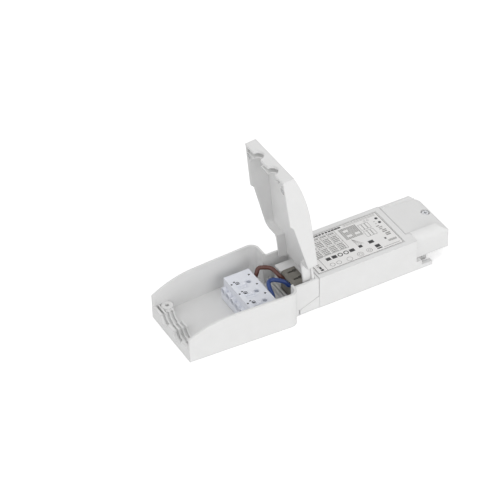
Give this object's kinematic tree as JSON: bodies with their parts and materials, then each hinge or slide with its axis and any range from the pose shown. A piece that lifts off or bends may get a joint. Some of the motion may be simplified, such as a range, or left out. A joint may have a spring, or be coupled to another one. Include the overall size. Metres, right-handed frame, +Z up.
{
  "type": "led driver with connection box",
  "caption": "Flat LED driver plugged into the neck of a tapered connection box whose curved lid stands open over a terminal block and its leads.",
  "frame": {"origin": "bottom centre of the bounding box, on the surface the part lies on", "axes": "+X runs from the cable entries of the box to the output end of the driver, +Z is up, and the lid's hinge axis is along Y"},
  "size_m": [0.1938, 0.0574, 0.1117],
  "materials": {
    "white_shell": "fine matt moulded polycarbonate",
    "white_block": "smooth moulded polyamide",
    "grey_terminal": "moulded polyamide",
    "label": "matt printed film",
    "brown_insulation": "smooth PVC",
    "blue_insulation": "smooth PVC",
    "steel": "zinc plated",
    "contact": "tinned copper alloy",
    "board": "solder-masked glass-fibre board",
    "ferrite": "sintered ferrite",
    "winding_tape": "polyester tape",
    "sleeve": "black sleeve and moulding",
    "film_case": "epoxy-filled case",
    "varistor_coat": "epoxy coating",
    "aluminium": "bare sheet"
  },
  "bodies": {
    "box_and_driver": {"box_base": "white_shell", "driver_housing": "white_shell", "driver_base": "white_shell", "output_cover": "white_shell", "connector_housing": "white_block", "input_terminal": "grey_terminal", "output_terminal": "grey_terminal", "rating_label": "label", "brown_wire": "brown_insulation", "blue_wire": "blue_insulation", "output_cover_screw": "steel", "connector_clamp_1": "contact", "connector_clamp_2": "contact", "connector_clamp_3": "contact", "circuit_board": "board", "transformer_core": "ferrite", "line_choke": "ferrite", "transformer_winding": "winding_tape", "bulk_capacitor": "sleeve", "output_capacitor": "sleeve", "fuse": "sleeve", "power_transistor": "sleeve", "control_chip": "sleeve", "film_capacitor": "film_case", "varistor": "varistor_coat", "heatsink": "aluminium"},
    "lid": {"box_lid": "white_shell", "lid_screw_near": "steel", "lid_screw_far": "steel"}
  },
  "joints": [
    {"name": "lid_hinge", "type": "hinge", "parent": "box_and_driver", "child": "lid", "pos_m": [-0.0064, 0, 0.0222], "axis": [0, 1, 0], "range_deg": [-84, 2]}
  ]
}
